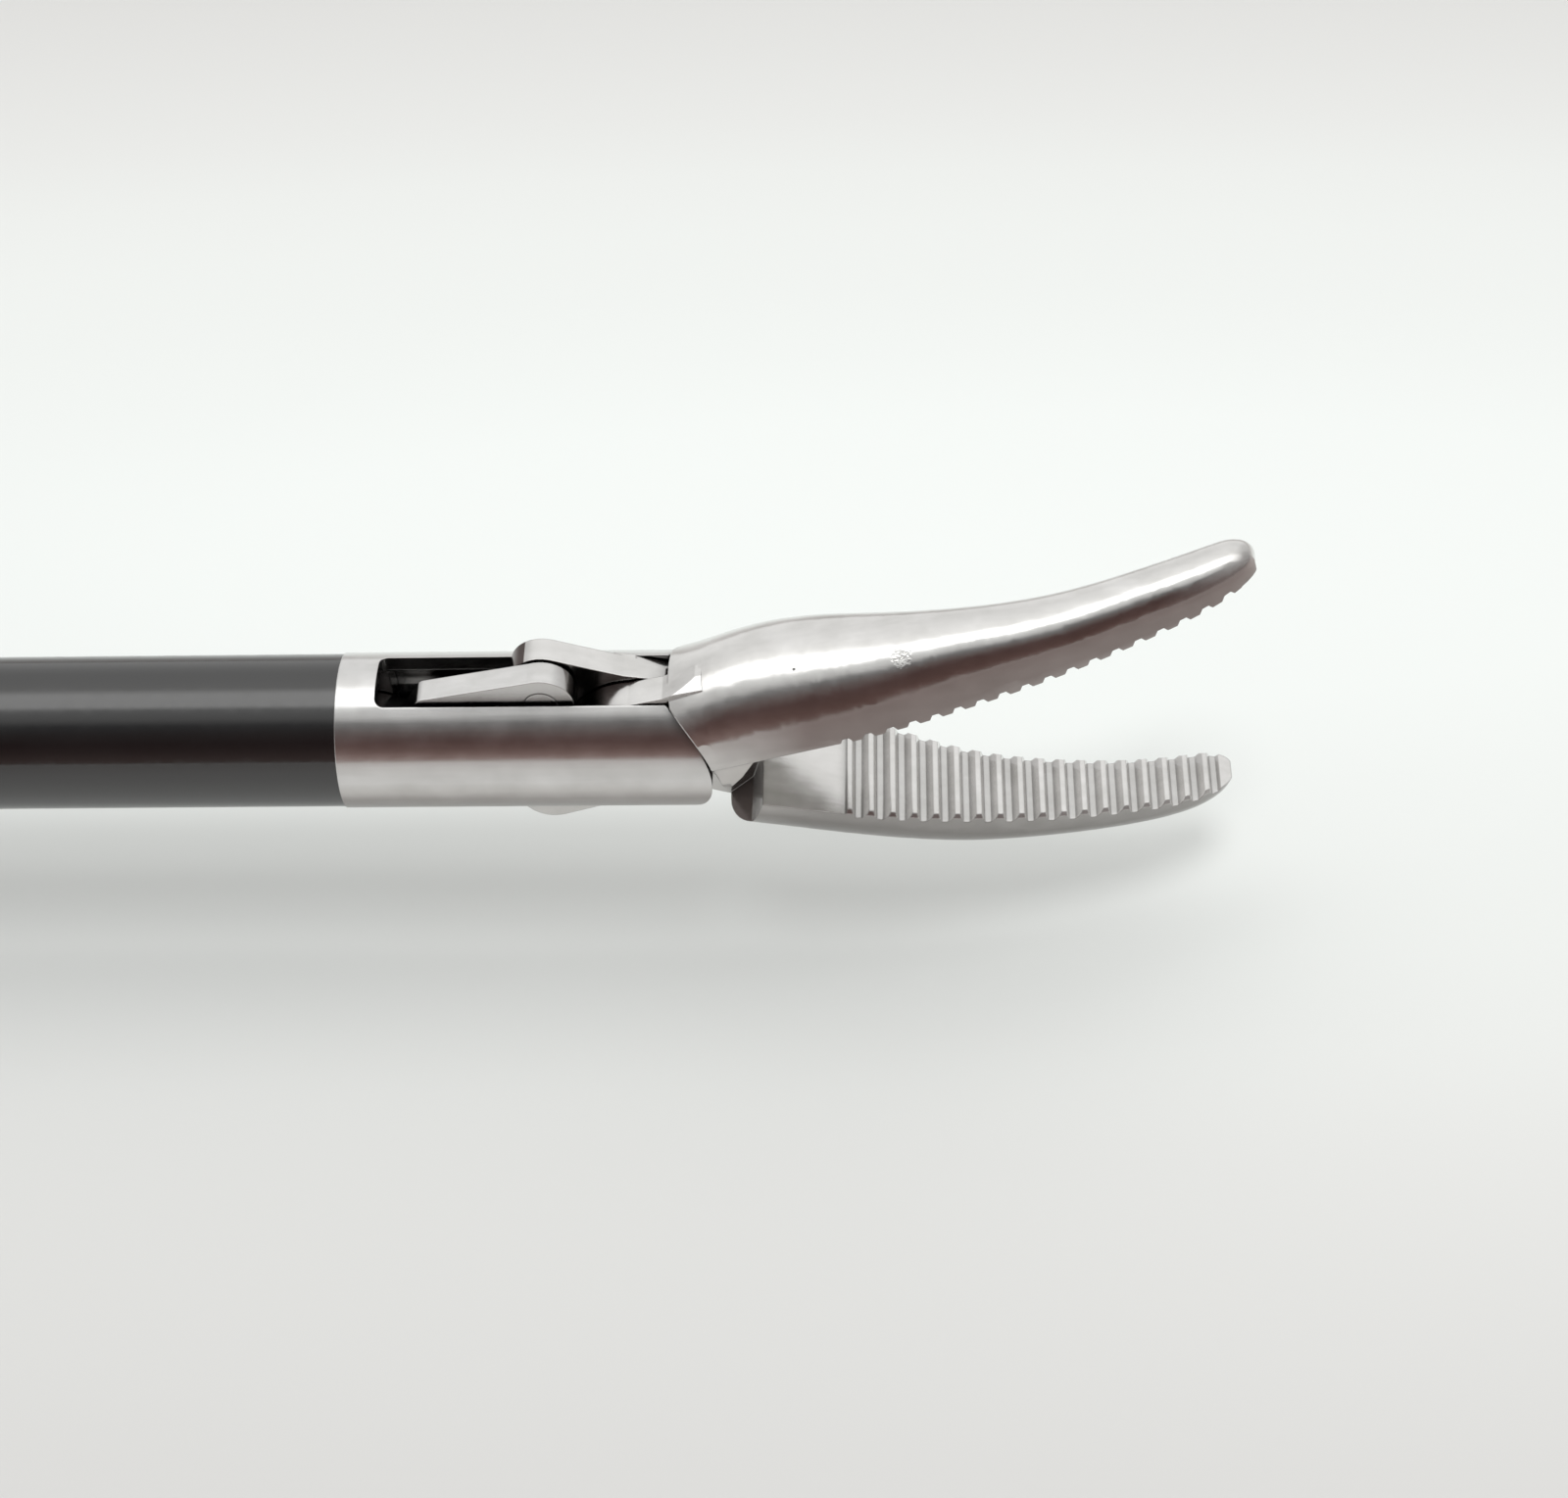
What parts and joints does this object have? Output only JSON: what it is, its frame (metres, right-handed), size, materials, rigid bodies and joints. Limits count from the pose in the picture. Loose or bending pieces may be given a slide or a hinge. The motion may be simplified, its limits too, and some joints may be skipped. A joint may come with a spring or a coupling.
{
  "type": "laparoscopic dissector",
  "caption": "Ring-handled laparoscopic dissector: slim insulated shaft, slotted steel clevis and curved double-action jaws with transverse teeth.",
  "frame": {"origin": "on the shaft axis at the front face of the rotation knob's nose", "axes": "+X along the shaft to the jaw tips, +Z the way the upper jaw opens and out of the lying handle's upper side, +Y away from the finger rings, along the jaw pivot pin"},
  "size_m": [0.4331, 0.105, 0.0196],
  "materials": {
    "polished_steel": "polished and lightly satin",
    "steel": "satin",
    "insulation": "smooth black shrunk sleeve with a soft sheen",
    "handle_plastic": "fine matt moulded black",
    "seal_rubber": "matt",
    "contact_brass": "plain",
    "plated_pin": "polished"
  },
  "bodies": {
    "handle": {"handle_shell_left": "handle_plastic", "handle_shell_right": "handle_plastic", "lever_pivot_pin": "steel", "rod_contact": "contact_brass", "hf_pin": "plated_pin", "shell_screw_rear": "steel", "shell_screw_middle": "steel", "shell_screw_lower": "steel"},
    "shaft": {"clevis": "steel", "jaw_pivot_pin": "steel", "outer_tube": "steel", "insulation_sleeve": "insulation", "rod_seal": "seal_rubber", "shaft_hub": "steel", "hub_o_ring": "seal_rubber", "rotation_knob": "handle_plastic"},
    "rod": {"push_rod": "steel", "rod_fork": "steel", "rod_pin": "steel", "rod_spool": "steel"},
    "upper_jaw": {"jaw_upper": "polished_steel", "elbow_pin_lower": "steel"},
    "lower_jaw": {"jaw_lower": "polished_steel", "elbow_pin_upper": "steel"},
    "upper_link": {"link_upper": "steel"},
    "lower_link": {"link_lower": "steel"},
    "lever": {"thumb_lever": "handle_plastic", "lever_fork": "steel"}
  },
  "joints": [
    {"name": "lever_hinge", "type": "hinge", "parent": "handle", "child": "lever", "pos_m": [-0.058, -0.008, 0], "axis": [0, 0, 1], "range_deg": [-6.24, 5.72]},
    {"name": "shaft_turn", "type": "hinge", "parent": "handle", "child": "shaft", "pos_m": [0, 0, 0], "axis": [1, 0, 0], "continuous": true},
    {"name": "rod_slide", "type": "slide", "parent": "shaft", "child": "rod", "axis": [1, 0, 0], "range_m": [-0.0009, 0.0009]},
    {"name": "upper_jaw_hinge", "type": "hinge", "parent": "shaft", "child": "upper_jaw", "pos_m": [0.31, 0, 0], "axis": [0, -1, 0], "range_deg": [-14.21, 15.5]},
    {"name": "lower_jaw_hinge", "type": "hinge", "parent": "shaft", "child": "lower_jaw", "pos_m": [0.31, 0, 0], "axis": [0, 1, 0], "range_deg": [-14.21, 15.5]},
    {"name": "upper_link_hinge", "type": "hinge", "parent": "lower_jaw", "child": "upper_link", "pos_m": [0.30715, 0, 0.0022], "axis": [0, 1, 0], "range_deg": [-22.8, 20.9]},
    {"name": "lower_link_hinge", "type": "hinge", "parent": "upper_jaw", "child": "lower_link", "pos_m": [0.30715, 0, -0.0022], "axis": [0, -1, 0], "range_deg": [-22.8, 20.9]}
  ],
  "couplings": [
    {"joint": "rod_slide", "follows": "lever_hinge", "m_per_rad": -0.008},
    {"joint": "upper_jaw_hinge", "follows": "lever_hinge", "ratio": -2.4825},
    {"joint": "lower_jaw_hinge", "follows": "lever_hinge", "ratio": -2.4825},
    {"joint": "upper_link_hinge", "follows": "lever_hinge", "ratio": 3.6411},
    {"joint": "lower_link_hinge", "follows": "lever_hinge", "ratio": 3.6411}
  ]
}
